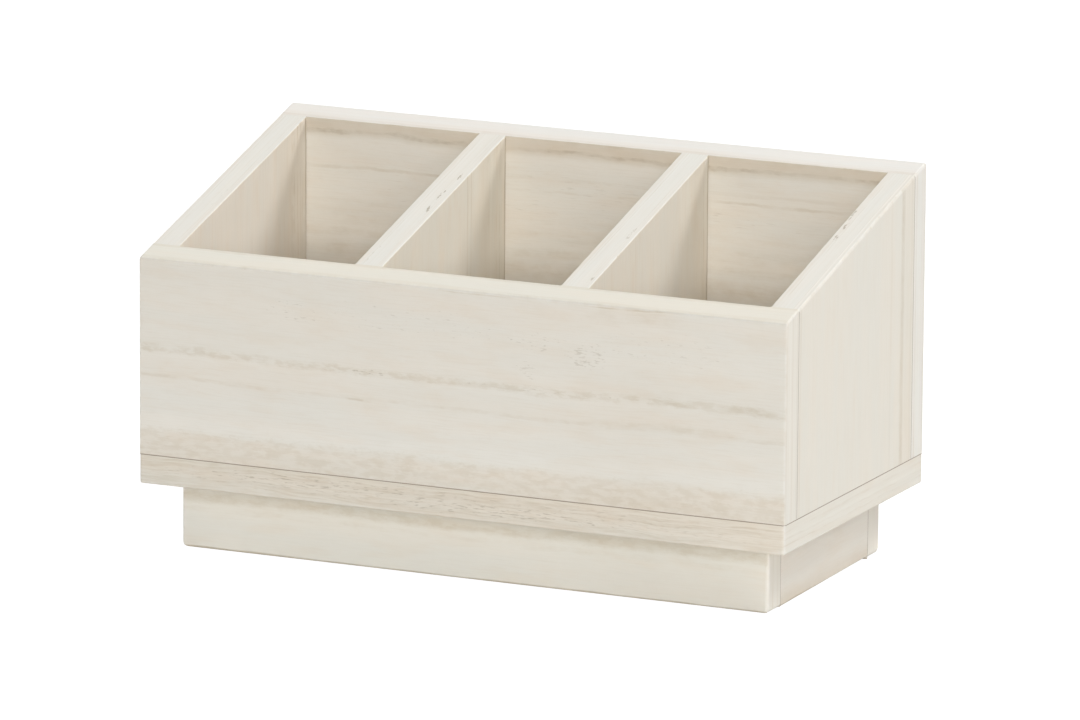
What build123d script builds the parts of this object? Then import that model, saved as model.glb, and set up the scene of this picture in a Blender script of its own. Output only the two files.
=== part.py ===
import os
from math import radians, tan

from build123d import *

# Three-compartment utensil holder in whitewashed wood: a raked box on a base board and a set-back plinth.
# Millimetres, +Z up. The origin is on the table, under the middle of the holder; the low front faces -Y.

# Overall size
width = 305.0
depth = 152.0
front_height = 130.5            # table to the outer front edge of the rim
back_height = 172.5             # table to the outer back edge of the rim

# Board stock
wall_thickness = 13.0           # front, back and side boards
divider_thickness = 13.0
base_thickness = 13.0
rail_thickness = 13.0

# Plinth
plinth_height = 30.0
plinth_end_inset = 13.5         # base board edge to the plinth, left and right
plinth_face_inset = 15.0        # base board edge to the plinth, front and back
side_rail_relief_front = 0.2    # how far the side rails stay off the table at their front ends
side_rail_relief_back = 1.3     # and at their back ends

# Sanded edges
rim_round = 1.4                 # outer edge of the raked rim
corner_round = 0.8              # upright outer corners of the box
inner_rim_round = 0.5           # rim edges that look into the compartments
base_round = 0.9                # all edges of the base board
plinth_round = 0.8              # upright corners and outer lower edges of the plinth
plinth_foot_round = 3.0         # lower end corners of the long plinth rails

# Stopped housings, which seat the ends of the dividers in the front and back panels
housing_depth = 4.0
housing_stop = 14.0             # the housing ends this far under the rim, so that it stays hidden
housing_fit = 0.1               # clearance on each flank and over the top
housing_end_gap = 0.4           # glue room past the divider's end

# Fluted dowels, glued into blind holes at the four corners
dowel_diameter = 6.0
dowel_flutes = 12
dowel_length = 24.0
dowel_in_panel = 8.0            # share of the dowel that lies in the front or back panel
dowel_chamfer = 0.7
dowel_fit = 0.05                # radial clearance in the hole
dowel_end_gap = 0.5             # glue room past each end
dowel_margin = 20.0             # first and last dowel of a joint, from the joint's ends
dowels_per_corner = 2

# Countersunk screws, driven up through the base board into the walls
screw_length = 30.0
screw_diameter = 3.5
screw_head_diameter = 7.0
screw_head_angle = 90.0
screw_fit = 0.05
screws_per_side = 1

# Three-cornered glue blocks inside the plinth
block_leg = 18.0
block_height = 24.0

# Names of the dividers, from left to right. The space is shared evenly between the compartments.
divider_names = ("left_divider", "right_divider")

# Levels and places worked out from the sizes above
base_top = plinth_height + base_thickness
half_width = width / 2
half_depth = depth / 2
inner_half_width = half_width - wall_thickness
inner_half_depth = half_depth - wall_thickness
plinth_half_width = half_width - plinth_end_inset
plinth_half_depth = half_depth - plinth_face_inset
compartment_count = len(divider_names) + 1
compartment_width = (2 * inner_half_width - len(divider_names) * divider_thickness) / compartment_count
compartment_pitch = compartment_width + divider_thickness


def rim_level(y):
    # Height of the one sloping plane that trims every wall board.
    return front_height + (y + half_depth) * (back_height - front_height) / depth


def spread(first, last, count):
    # Even places from first to last; one alone goes to the middle.
    if count == 1:
        return [(first + last) / 2]
    return [first + (last - first) * i / (count - 1) for i in range(count)]


def divider_centre(index):
    return -inner_half_width + (index + 1) * compartment_pitch - divider_thickness / 2


def raked_block(x_low, x_high, y_low, y_high):
    # Upright board on the base, cut off on the slope of the rim.
    profile = Plane.YZ.offset(x_low) * Polygon(
        (y_low, base_top),
        (y_high, base_top),
        (y_high, rim_level(y_high)),
        (y_low, rim_level(y_low)),
        align=None,
    )
    return extrude(profile, amount=x_high - x_low)


def block(x_low, x_high, y_low, y_high, z_low, z_high):
    size = (x_high - x_low, y_high - y_low, z_high - z_low)
    centre = Pos((x_low + x_high) / 2, (y_low + y_high) / 2, (z_low + z_high) / 2)
    return centre * Box(*size)


def rim_face(solid):
    # The sloping top is the largest of the faces that look up.
    upward = solid.faces().filter_by(lambda face: face.normal_at().Z > 0.5)
    return upward.sort_by(SortBy.AREA)[-1]


def sanded_shell():
    # Outer form of the assembled box after sanding: all wall boards are trimmed to it.
    shell = raked_block(-half_width, half_width, -half_depth, half_depth)
    shell = fillet(rim_face(shell).edges(), rim_round)
    return fillet(shell.edges().filter_by(Axis.Z), corner_round)


def ease_inner_rim(board, is_inner):
    # Rounds the long rim edges that look into a compartment.
    edges = [edge for edge in rim_face(board).edges() if is_inner(edge.center())]
    return fillet(edges, inner_rim_round)


def wall_boards(shell):
    # Front and back panels run the full width; sides and dividers stand between them.
    front = raked_block(-half_width, half_width, -half_depth, -inner_half_depth)
    back = raked_block(-half_width, half_width, inner_half_depth, half_depth)
    left = raked_block(-half_width, -inner_half_width, -inner_half_depth, inner_half_depth)
    right = raked_block(inner_half_width, half_width, -inner_half_depth, inner_half_depth)
    near = 0.01
    front = ease_inner_rim(front, lambda c: c.Y > -inner_half_depth - near)
    back = ease_inner_rim(back, lambda c: c.Y < inner_half_depth + near)
    left = ease_inner_rim(left, lambda c: c.X > -inner_half_width - near)
    right = ease_inner_rim(right, lambda c: c.X < inner_half_width + near)
    boards = {"front_panel": front, "back_panel": back, "left_side": left, "right_side": right}
    boards = {name: board & shell for name, board in boards.items()}
    for index, name in enumerate(divider_names):
        boards[name] = divider(divider_centre(index))
    return boards


def housed_profile(reach, top_gap):
    # Side view of a divider with its stub ends; the housings are cut with the same view, made larger.
    front_stop = rim_level(-inner_half_depth) - housing_stop + top_gap
    back_stop = rim_level(inner_half_depth) - housing_stop + top_gap
    end = inner_half_depth + reach
    return [
        (-end, base_top),
        (end, base_top),
        (end, back_stop),
        (inner_half_depth, back_stop),
        (inner_half_depth, rim_level(inner_half_depth)),
        (-inner_half_depth, rim_level(-inner_half_depth)),
        (-inner_half_depth, front_stop),
        (-end, front_stop),
    ]


def divider(middle):
    points = housed_profile(housing_depth - housing_end_gap, 0)
    board = extrude(Plane.YZ.offset(middle - divider_thickness / 2) * Polygon(*points, align=None),
                    amount=divider_thickness)
    return ease_inner_rim(board, lambda c: abs(c.Y) < inner_half_depth / 2)


def housings():
    # The room that the dividers need in the two panels.
    room = divider_thickness + 2 * housing_fit
    points = housed_profile(housing_depth, housing_fit)
    starts = [divider_centre(index) - room / 2 for index in range(len(divider_names))]
    return [extrude(Plane.YZ.offset(x) * Polygon(*points, align=None), amount=room) for x in starts]


def base_board():
    board = block(-half_width, half_width, -half_depth, half_depth, plinth_height, base_top)
    return fillet(board.edges(), base_round)


def long_rail(side):
    # Front rail for side -1, back rail for side +1; its ends show at the plinth's corners.
    y_out = side * plinth_half_depth
    y_in = side * (plinth_half_depth - rail_thickness)
    rail = block(-plinth_half_width, plinth_half_width, min(y_out, y_in), max(y_out, y_in), 0, plinth_height)
    feet = rail.edges().filter_by(Axis.Y).group_by(Axis.Z)[0]
    rail = fillet(feet, plinth_foot_round)
    outer = rail.faces().sort_by(Axis.Y)[0 if side < 0 else -1]
    eased = [edge for edge in outer.edges() if edge.center().Z < plinth_height - plinth_round]
    return fillet(eased, plinth_round)


def side_rail(side):
    # Cut a little shallower than the long rails, most at the back, so that the holder doesn't rock on it.
    y_end = plinth_half_depth - rail_thickness
    profile = Plane.YZ.offset(side * plinth_half_width - max(side, 0) * rail_thickness) * Polygon(
        (-y_end, side_rail_relief_front),
        (y_end, side_rail_relief_back),
        (y_end, plinth_height),
        (-y_end, plinth_height),
        align=None,
    )
    rail = extrude(profile, amount=rail_thickness)
    outer = rail.faces().sort_by(Axis.X)[0 if side < 0 else -1]
    foot = outer.edges().sort_by(lambda edge: edge.center().Z)[0]
    return fillet(foot, plinth_round)


def glue_block(x_side, y_side):
    # Fills one inner corner of the plinth, with its long face towards the middle.
    x = x_side * (plinth_half_width - rail_thickness)
    y = y_side * (plinth_half_depth - rail_thickness)
    corner = [(x, y), (x - x_side * block_leg, y), (x, y - y_side * block_leg)]
    outline = Plane.XY.offset(plinth_height - block_height) * Polygon(*corner, align=None)
    return extrude(outline, amount=block_height, dir=(0, 0, 1))


def dowel_seat(x, z, side):
    # One dowel across the joint of a side board with the front (-1) or back (+1) panel, and its hole.
    place = Pos(x, side * inner_half_depth, z) * Rot(-90 * side, 0, 0)
    place = place * Pos(0, 0, dowel_in_panel - dowel_length / 2)
    dowel = extrude(RegularPolygon(dowel_diameter / 2, dowel_flutes), dowel_length / 2, both=True)
    ends = dowel.faces().filter_by(Axis.Z).edges()
    dowel = chamfer(ends, dowel_chamfer)
    hole = Cylinder(dowel_diameter / 2 + dowel_fit, dowel_length + 2 * dowel_end_gap)
    return place * dowel, place * hole


def dowel_layout():
    # The places of the dowels at each corner of the box.
    side_middle = half_width - wall_thickness / 2
    layout = {}
    for side, end in ((-1, "front"), (1, "back")):
        top = rim_level(side * inner_half_depth) - dowel_margin
        levels = spread(base_top + dowel_margin, top, dowels_per_corner)
        layout[f"{end}_left_corner_dowels"] = [(-side_middle, z, side) for z in levels]
        layout[f"{end}_right_corner_dowels"] = [(side_middle, z, side) for z in levels]
    return layout


def screw_body(fit):
    # Countersunk screw standing on its head, or with a fit the hole that takes it.
    head_radius = screw_head_diameter / 2 + fit
    shank_radius = screw_diameter / 2 + fit
    head_height = (head_radius - shank_radius) / tan(radians(screw_head_angle / 2))
    points = [
        (0, 0),
        (head_radius, 0),
        (shank_radius, head_height),
        (shank_radius, screw_length + fit),
        (0, screw_length + fit),
    ]
    return revolve(make_face(Plane.XZ * Polyline(*points, close=True)), Axis.Z)


def screw_layout():
    # One screw under the middle of each compartment, front and back, and those under the side boards.
    panel_middle = half_depth - wall_thickness / 2
    side_middle = half_width - wall_thickness / 2
    bays = [-inner_half_width + compartment_width / 2 + i * compartment_pitch for i in range(compartment_count)]
    step = 2 * inner_half_depth / screws_per_side
    rows = spread(step / 2 - inner_half_depth, inner_half_depth - step / 2, screws_per_side)
    return {
        "front_panel_screws": [(x, -panel_middle) for x in bays],
        "back_panel_screws": [(x, panel_middle) for x in bays],
        "side_board_screws": [(x, y) for x in (-side_middle, side_middle) for y in rows],
    }


def fixings():
    # All fasteners as named groups, and the holes that they need.
    groups = {}
    holes = []
    for name, places in dowel_layout().items():
        seats = [dowel_seat(*place) for place in places]
        groups[name] = Compound(children=[dowel for dowel, hole in seats])
        holes += [hole for dowel, hole in seats]
    for name, places in screw_layout().items():
        groups[name] = Compound(children=[Pos(x, y, plinth_height) * screw_body(0) for x, y in places])
        holes += [Pos(x, y, plinth_height) * screw_body(screw_fit) for x, y in places]
    return groups, holes


boards = wall_boards(sanded_shell())
boards["base_board"] = base_board()
boards["plinth_front_rail"] = long_rail(-1)
boards["plinth_back_rail"] = long_rail(1)
boards["plinth_left_rail"] = side_rail(-1)
boards["plinth_right_rail"] = side_rail(1)
for panel in ("front_panel", "back_panel"):
    boards[panel] = boards[panel] - housings()
groups, holes = fixings()
parts = {name: board - holes for name, board in boards.items()}
parts.update(groups)
for x_side, x_name in ((-1, "left"), (1, "right")):
    for y_side, y_name in ((-1, "front"), (1, "back")):
        parts[f"plinth_{y_name}_{x_name}_block"] = glue_block(x_side, y_side)

os.makedirs("parts", exist_ok=True)
for name, shape in parts.items():
    export_step(shape, f"parts/{name}.step")

slope = (back_height - front_height) / depth
print(f"compartments {compartment_width:.2f} x {2 * inner_half_depth:.2f} mm, rim slope {slope:.4f}")
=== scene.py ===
import math

import bmesh
import bpy
from mathutils import Matrix, Vector, noise as perlin


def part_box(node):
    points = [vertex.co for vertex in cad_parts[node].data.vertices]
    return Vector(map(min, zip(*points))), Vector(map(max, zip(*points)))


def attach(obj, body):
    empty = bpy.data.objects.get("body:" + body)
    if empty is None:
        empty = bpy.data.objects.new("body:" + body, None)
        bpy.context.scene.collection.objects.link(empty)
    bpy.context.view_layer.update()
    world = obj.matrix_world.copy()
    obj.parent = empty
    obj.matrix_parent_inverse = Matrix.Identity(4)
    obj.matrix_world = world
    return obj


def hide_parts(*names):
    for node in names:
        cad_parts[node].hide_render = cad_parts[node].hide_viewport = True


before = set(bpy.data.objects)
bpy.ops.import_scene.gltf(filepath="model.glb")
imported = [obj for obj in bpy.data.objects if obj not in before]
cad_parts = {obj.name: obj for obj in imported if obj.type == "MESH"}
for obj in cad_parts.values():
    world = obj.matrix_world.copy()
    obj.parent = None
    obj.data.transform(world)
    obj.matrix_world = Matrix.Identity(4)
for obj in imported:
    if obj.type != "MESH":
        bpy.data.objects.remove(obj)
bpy.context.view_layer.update()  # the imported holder: one object per CAD node, all on the body "root"
print("frame loaded:", len(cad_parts), "nodes")

mm = 0.001

# Sizes that the pieces share. The rim rises from the front face to the back face.
rimPlan = {
    "frontHeight": 130.5 * mm,
    "backHeight": 172.5 * mm,
    "outerRound": 1.4 * mm,  # arris of the rim round the outside
    "innerRound": 0.5 * mm,  # arris of the rim round each compartment
    "cornerRound": 0.8 * mm,  # upright outer corners
}
baseLow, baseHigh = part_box("base_board")
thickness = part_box("left_side")[1].x - baseLow.x
innerFront, innerBack = baseLow.y + thickness, baseHigh.y - thickness
innerLeft, innerRight = baseLow.x + thickness, baseHigh.x - thickness


def rimLevel(y):
    share = (y - baseLow.y) / (baseHigh.y - baseLow.y)
    return rimPlan["frontHeight"] + (rimPlan["backHeight"] - rimPlan["frontHeight"]) * share


def addObject(name, data):
    item = bpy.data.objects.new(name, data)
    bpy.context.scene.collection.objects.link(item)
    return item


# Camera: a long lens from the front right, turned as in the photograph.
cameraPlan = {
    "aim": (0.0, 0.0, 85 * mm),
    "yaw": 24.501,  # degrees
    "pitch": 12.544,
    "roll": 0.409,
    "distance": 4.368,
    "shiftRight": -3.462 * mm,  # how far the aim lies from the picture's middle
    "shiftUp": 0.355 * mm,
    "lens": 335.39,
    "sensor": 36.0,
}


def makeCamera(plan):
    yaw, pitch, roll = (math.radians(plan[name]) for name in ("yaw", "pitch", "roll"))
    forward = Vector((-math.sin(yaw) * math.cos(pitch), math.cos(yaw) * math.cos(pitch), -math.sin(pitch)))
    level = Vector((math.cos(yaw), math.sin(yaw), 0))
    upright = level.cross(forward)
    right = math.cos(roll) * level + math.sin(roll) * upright
    up = math.cos(roll) * upright - math.sin(roll) * level
    place = Vector(plan["aim"]) - plan["shiftRight"] * right - plan["shiftUp"] * up
    place -= plan["distance"] * forward
    lens = bpy.data.cameras.new("camera")
    lens.lens = plan["lens"]
    lens.sensor_fit = "HORIZONTAL"
    lens.sensor_width = plan["sensor"]
    lens.clip_start = 0.1
    lens.clip_end = 50
    camera = addObject("camera", lens)
    turn = Matrix((right, up, -forward)).transposed().to_4x4()
    camera.matrix_world = Matrix.Translation(place) @ turn
    bpy.context.scene.camera = camera


makeCamera(cameraPlan)
print("camera placed")


# Short forms for shader nodes
def node(tree, kind, inputs=None, **settings):
    made = tree.nodes.new(kind)
    for name, value in settings.items():
        setattr(made, name, value)
    for name, value in (inputs or {}).items():
        if isinstance(value, bpy.types.NodeSocket):
            tree.links.new(value, made.inputs[name])
        else:
            made.inputs[name].default_value = value
    return made


def calc(tree, operation, a, b=0.0, clamp=False):
    return node(tree, "ShaderNodeMath", {0: a, 1: b}, operation=operation, use_clamp=clamp).outputs[0]


def ramp(tree, value, start, end, low=0.0, high=1.0):
    inputs = {"Value": value, "From Min": start, "From Max": end, "To Min": low, "To Max": high}
    return node(tree, "ShaderNodeMapRange", inputs, interpolation_type="SMOOTHSTEP").outputs["Result"]


def mixColour(tree, factor, a, b, blend="MIX"):
    made = node(tree, "ShaderNodeMix", {0: factor, 6: a, 7: b}, data_type="RGBA", blend_type=blend)
    return made.outputs[2]


def noise(tree, x, y, z=0.0, detail=2.0, rough=0.5):
    where = node(tree, "ShaderNodeCombineXYZ", {0: x, 1: y, 2: z}).outputs[0]
    inputs = {"Vector": where, "Scale": 1.0, "Detail": detail, "Roughness": rough}
    return node(tree, "ShaderNodeTexNoise", inputs).outputs[0]


def paint(red, green, blue):
    # a colour given in the 0 to 255 steps of a picture, as the shader wants it
    steps = [value / 255 for value in (red, green, blue)]
    return [value / 12.92 if value < 0.04 else ((value + 0.055) / 1.055) ** 2.4 for value in steps] + [1.0]


def newMaterial(name):
    material = bpy.data.materials.new(name)
    material.use_nodes = True
    material.node_tree.nodes.clear()
    return material, material.node_tree


def surface(tree, colour, rough, height, distance, strength, more):
    # ends a material with its colour, its roughness and a relief of the given height pattern
    relief = node(tree, "ShaderNodeBump", {"Height": height, "Distance": distance, "Strength": strength})
    inputs = {"Base Color": colour, "Roughness": rough, "Normal": relief.outputs[0], **more}
    shader = node(tree, "ShaderNodeBsdfPrincipled", inputs)
    node(tree, "ShaderNodeOutputMaterial", {"Surface": shader.outputs[0]})


# Whitewashed wood. Lengths are millimetres, and tints multiply the tone of the face that they are on.
washPlan = {
    "tints": {  # laid over a face in this order
        "mist": (0.985, 0.998, 1.008, 1.0),
        "blush": (0.985, 0.96, 0.935, 1.0),
        # pale streaks, and painted light on some faces
        "hazeAndLight": (1.025, 1.03, 1.035, 1.0),
        # painted light and painted highlights
        "paintedLight": (1.07, 1.075, 1.085, 1.0),
        # dark streaks, and painted shadow lines on some faces
        "streakAndShade": (0.80, 0.745, 0.66, 1.0),
        "shade": (0.66, 0.60, 0.52, 1.0),
    },
    "pore": (0.64, 0.60, 0.54, 1.0),
    "rubAndHighlight": (1.025, 1.035, 1.055, 1.0),  # rounded edges, sanded paler and painted brighter as a highlight
    "seam": paint(128, 107, 87),
    "seamDepth": 0.68,
    "face": {  # what a face has where its own layer doesn't say
        "fineLength": 16.0,  # the finest figure, along and across the grain
        "fineWidth": 0.75,
        "fineDepth": 0.14,
        "mottleDepth": 0.35,
        "blush": 0.7,
        "sway": 4,  # how far the grain bends to a side
        "dash": (3.2, 0.8),  # length and width of a pore
        "streaks": (),
        "pores": (),
    },
    "mottleLength": 2.8,
    "mottleWidth": 1.5,
    "rubLength": 5.0,
    "relief": 0.05 * mm,
}
facing = {
    "right": (0, 1), "left": (0, -1),
    "back": (1, 1), "front": (1, -1),
    "top": (2, 1), "under": (2, -1),
}


def mark(at, half, depth, tint="streakAndShade", **more):
    # one streak: its middle across the grain, its half width and how deep its tint is. The rest says how
    # ragged, soft, broken, blobby or feathered it is, and which span along the grain it keeps to.
    return {"at": at, "half": half, "depth": depth, "tint": tint, **more}


def speckle(at, reach, depth, sparse):
    # a patch of small dark pores, with its middle and its reach along and across the grain
    return {"at": at, "reach": reach, "depth": depth, "sparse": sparse}


def swing(tree, value, amount):
    # a noise from 0 to 1, turned into a shift to both sides
    return calc(tree, "MULTIPLY", calc(tree, "SUBTRACT", value, 0.5), amount)


def streakMask(tree, streak, along, across, ragged, breaks, blotch, mottle):
    bent = calc(tree, "ADD", across, swing(tree, ragged, streak.get("ragged", 1.0) * 4))
    if "feather" in streak:
        bent = calc(tree, "ADD", bent, swing(tree, mottle, streak["feather"]))
    off = calc(tree, "ABSOLUTE", calc(tree, "SUBTRACT", bent, streak["at"]))
    full, gone = streak["half"] * streak.get("soft", 0.3), streak["half"] * 1.3
    mask = ramp(tree, off, full, gone, 1, 0)
    mask = calc(tree, "MULTIPLY", mask, ramp(tree, breaks, 0.38, 0.62, 1 - streak.get("broken", 0.7), 1))
    if "blobs" in streak:
        mask = calc(tree, "MULTIPLY", mask, ramp(tree, blotch, 0.4, 0.6, 1 - streak["blobs"], 1))
    if "span" in streak:
        start, end = streak["span"]
        away = calc(tree, "ABSOLUTE", calc(tree, "SUBTRACT", along, (start + end) / 2))
        reach = abs(end - start) / 2
        mask = calc(tree, "MULTIPLY", mask, ramp(tree, away, reach * 0.6, reach * 1.15, 1, 0))
    return calc(tree, "MULTIPLY", mask, streak["depth"])


def poreMask(tree, patch, along, across, dashes, clusters):
    squares = []
    for place, middle, reach in zip((along, across), patch["at"], patch["reach"]):
        share = calc(tree, "DIVIDE", calc(tree, "SUBTRACT", place, middle), reach)
        squares.append(calc(tree, "MULTIPLY", share, share))
    away = calc(tree, "SQRT", calc(tree, "ADD", *squares))
    limit = calc(tree, "ADD", patch["sparse"], ramp(tree, away, 0.5, 2.0, 0, 0.4))
    limit = calc(tree, "SUBTRACT", limit, swing(tree, clusters, 0.3))
    pores = calc(tree, "MULTIPLY", calc(tree, "SUBTRACT", dashes, limit), 9, clamp=True)
    return calc(tree, "MULTIPLY", pores, patch["depth"])


def washedBoard(name, plan):
    material, tree = newMaterial(name)
    wash, seed = washPlan, plan["seed"]
    tints = wash["tints"]
    texture = node(tree, "ShaderNodeTexCoord")
    place = node(tree, "ShaderNodeSeparateXYZ", {0: texture.outputs["Object"]}).outputs
    axis = {letter: calc(tree, "MULTIPLY", place[i], 1000) for i, letter in enumerate("xyz")}
    normal = node(tree, "ShaderNodeSeparateXYZ", {0: texture.outputs["Normal"]}).outputs
    colour = None
    for layer in plan["layers"]:
        look = {**wash["face"], **layer}
        mask = None  # where the layer's sides are
        for side in look["sides"].split():
            number, sign = facing[side]
            faced = ramp(tree, calc(tree, "MULTIPLY", normal[number], sign), 0.45, 0.8)
            mask = faced if mask is None else calc(tree, "MAXIMUM", mask, faced)
        along, across = (axis[letter] for letter in look["axes"])

        def grain(length, width, shift, detail=3, rough=0.5, where=None):
            crossways = calc(tree, "DIVIDE", bent if where is None else where, width)
            return noise(tree, calc(tree, "DIVIDE", along, length), crossways, seed + shift, detail, rough)

        bent = across
        bent = calc(tree, "ADD", across, swing(tree, grain(70, 60, 0, 2), look["sway"]))
        fine = grain(look["fineLength"], look["fineWidth"], 8, 3, 0.6)
        mottle = grain(wash["mottleLength"], wash["mottleWidth"], 31, 3, 0.65)
        tinted = mixColour(tree, ramp(tree, grain(90, 13, 2), 0.4, 0.62), (1, 1, 1, 1), tints["mist"])
        flush = ramp(tree, grain(26, 7, 5), 0.46, 0.7, 0, look["blush"])
        tinted = mixColour(tree, flush, tinted, tints["blush"], "MULTIPLY")
        lines = ramp(tree, fine, 0.42, 0.75, 0, look["fineDepth"])
        tinted = mixColour(tree, lines, tinted, tints["streakAndShade"], "MULTIPLY")
        dabs = ramp(tree, mottle, 0.5, 0.75, 0, look["mottleDepth"])
        tinted = mixColour(tree, dabs, tinted, tints["blush"], "MULTIPLY")
        if look["streaks"]:
            ragged, breaks = grain(10, 5, 11, 3, 0.55, across), grain(16, 10, 17, 3, 0.6, across)
            blotch = grain(7, 2.6, 37, 3, 0.6, across)
            for tint, shading in tints.items():
                streakAndShade = None
                for streak in look["streaks"]:
                    if streak["tint"] == tint:
                        made = streakMask(tree, streak, along, bent, ragged, breaks, blotch, mottle)
                        streakAndShade = made if streakAndShade is None else calc(tree, "MAXIMUM", streakAndShade, made)
                if streakAndShade is not None:
                    tinted = mixColour(tree, streakAndShade, tinted, shading, "MULTIPLY")
        if look["pores"]:
            dashes = grain(*look["dash"], 23, 2, 0.55, across)
            clusters = grain(7, 3.5, 27, 2, 0.5, across)
            for patch in look["pores"]:
                made = poreMask(tree, patch, along, across, dashes, clusters)
                tinted = mixColour(tree, made, tinted, wash["pore"], "MULTIPLY")
        toned = mixColour(tree, 1.0, tinted, paint(*look["tone"]), "MULTIPLY")
        if colour is None:
            colour, fineAll = toned, fine
        else:
            colour = mixColour(tree, mask, colour, toned)
            fineAll = mixColour(tree, mask, fineAll, fine)
    spots = [calc(tree, "DIVIDE", axis[letter], wash["rubLength"]) for letter in "xyz"]
    rubbing = noise(tree, *spots, 3, 0.6)
    arris = node(tree, "ShaderNodeAttribute", attribute_name="arris").outputs["Fac"]
    # painted highlight along the rounded edges, broken up like sanding wear
    rubAndHighlightMask = calc(tree, "MULTIPLY", arris, ramp(tree, rubbing, 0.58, 0.4))
    colour = mixColour(tree, rubAndHighlightMask, colour, wash["rubAndHighlight"], "MULTIPLY")
    nibbled = calc(tree, "MULTIPLY", arris, ramp(tree, rubbing, 0.6, 0.72, 0, plan.get("nibbles", 0.3)))
    colour = mixColour(tree, nibbled, colour, tints["streakAndShade"], "MULTIPLY")
    seam = node(tree, "ShaderNodeAttribute", attribute_name="seam").outputs["Fac"]
    colour = mixColour(tree, calc(tree, "MULTIPLY", seam, wash["seamDepth"]), colour, wash["seam"])
    rough = ramp(tree, fineAll, 0.25, 0.75, 0.68, 0.84)
    surface(tree, colour, rough, fineAll, wash["relief"], 0.5, {"Specular IOR Level": 0.15})
    return material


# Boards. Each is a prism with its own arrises, and where two boards meet both edges are eased a little.
boardPlan = {
    "ease": 0.2 * mm,
    "segments": 4,
    "ringStep": 2.5 * mm,  # rings along a wall board, so that its arris can be worn unevenly
    "wear": 0.09 * mm,
    "wearLength": 5 * mm,
    "arrisShadeLean": (0.7, 0.9),  # the faces of the outer right arris that hold a thin painted shade line
    "crease": 50,  # degrees; an edge that turns more stays sharp
    "sliver": 0.001 * mm,  # shorter edges are what a cut leaves, and come out
    "seamReach": 0.204 * mm,  # a face this near to both sides of a joint is in its eased edge
    "flat": 0.999,  # cosine; a face turned further than this from every side is in a rounded edge
}
cornerOrder = {
    "left": ((0, 0, 0), (0, 0, 1), (0, 1, 1), (0, 1, 0)),
    "right": ((1, 0, 0), (1, 1, 0), (1, 1, 1), (1, 0, 1)),
    "front": ((0, 0, 0), (1, 0, 0), (1, 0, 1), (0, 0, 1)),
    "back": ((0, 1, 0), (0, 1, 1), (1, 1, 1), (1, 1, 0)),
    "under": ((0, 0, 0), (0, 1, 0), (1, 1, 0), (1, 0, 0)),
    "top": ((0, 0, 1), (1, 0, 1), (1, 1, 1), (0, 1, 1)),
}
sideNames = list(cornerOrder)


def applyModifiers(item):
    bpy.context.view_layer.update()
    graph = bpy.context.evaluated_depsgraph_get()
    mesh = bpy.data.meshes.new_from_object(item.evaluated_get(graph), depsgraph=graph)
    item.modifiers.clear()
    item.data = mesh


def boardPrism(low, high, topAt, underAt):
    mesh = bmesh.new()
    sideLayer = mesh.faces.layers.int.new("side")
    corners = {}
    for i in (0, 1):
        for j in (0, 1):
            for k in (0, 1):
                x, y = (low.x, high.x)[i], (low.y, high.y)[j]
                corners[i, j, k] = mesh.verts.new((x, y, topAt(y) if k else underAt(y)))
    for number, order in enumerate(cornerOrder.values()):
        mesh.faces.new([corners[c] for c in order])[sideLayer] = number
    mesh.normal_update()
    return mesh


def cutRings(mesh, axis, places):
    along = Vector((0, 0, 0))
    along[axis] = 1
    for place in places:
        everything = list(mesh.verts) + list(mesh.edges) + list(mesh.faces)
        bmesh.ops.bisect_plane(mesh, geom=everything, plane_co=along * place, plane_no=along, dist=1e-6)


def wearArris(mesh, planes, pairs):
    # moves the rim's arris in a little here and there, as a hand-held sander does
    plan = boardPlan
    for vert in mesh.verts:
        for first, second, radius in pairs:
            reach = radius * 1.05
            away = max(abs((vert.co - planes[side][0]).dot(planes[side][1])) for side in (first, second))
            if away > reach:
                continue
            amount = plan["wear"] * (0.5 + perlin.noise(vert.co / plan["wearLength"]))
            inward = -(planes[first][1] + planes[second][1]).normalized()
            vert.co += inward * max(amount, 0) * min(1.0, (1 - away / reach) * 1.5)


def takeOut(item, outlines):
    # cuts tools out of a piece; each tool is a row of outlines, joined one to the next
    mesh = bmesh.new()
    for rings in outlines:
        rows = [[mesh.verts.new(point) for point in ring] for ring in rings]
        for first, second in zip(rows, rows[1:]):
            for i, corner in enumerate(first):
                j = (i + 1) % len(first)
                mesh.faces.new((corner, first[j], second[j], second[i]))
        mesh.faces.new(rows[0])
        mesh.faces.new(rows[-1])
    bmesh.ops.recalc_face_normals(mesh, faces=list(mesh.faces))
    data = bpy.data.meshes.new("tool")
    mesh.to_mesh(data)
    mesh.free()
    tool = addObject("tool", data)
    cut = item.modifiers.new("cut", "BOOLEAN")
    cut.operation = "DIFFERENCE"
    cut.solver = "EXACT"
    cut.object = tool
    applyModifiers(item)
    bpy.data.objects.remove(tool)
    mesh = bmesh.new()
    mesh.from_mesh(item.data)
    bmesh.ops.remove_doubles(mesh, verts=mesh.verts, dist=boardPlan["sliver"])
    bmesh.ops.dissolve_degenerate(mesh, dist=boardPlan["sliver"], edges=mesh.edges)
    mesh.to_mesh(item.data)
    mesh.free()


def bayTools(bays, y, inward):
    # the small round off the rim's inner arris, which stops at each upright
    reach, steps = rimPlan["innerRound"], boardPlan["segments"]
    rise = rimLevel(1) - rimLevel(0)
    first, second = Vector((0, -rise, 1)).normalized(), Vector((0, inward, 0))
    edge = Vector((0, y, rimLevel(y)))
    middle = edge - (first + second) * (reach / (1 + first.dot(second)))
    outline = [middle + first.slerp(second, i / steps) * reach for i in range(steps + 1)]
    clear = 3 * reach
    outline += [outline[-1] + second * clear, edge + (first + second) * clear, outline[0] + first * clear]
    return [[[point + Vector((x, 0, 0)) for point in outline] for x in bay] for bay in bays]


def keepWithin(mesh, planes):
    # where three rounds meet, the bevel can stand out of the board by a hair
    for vert in mesh.verts:
        for point, direction in planes.values():
            over = (vert.co - point).dot(direction)
            if over > 0:
                vert.co -= direction * over


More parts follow.
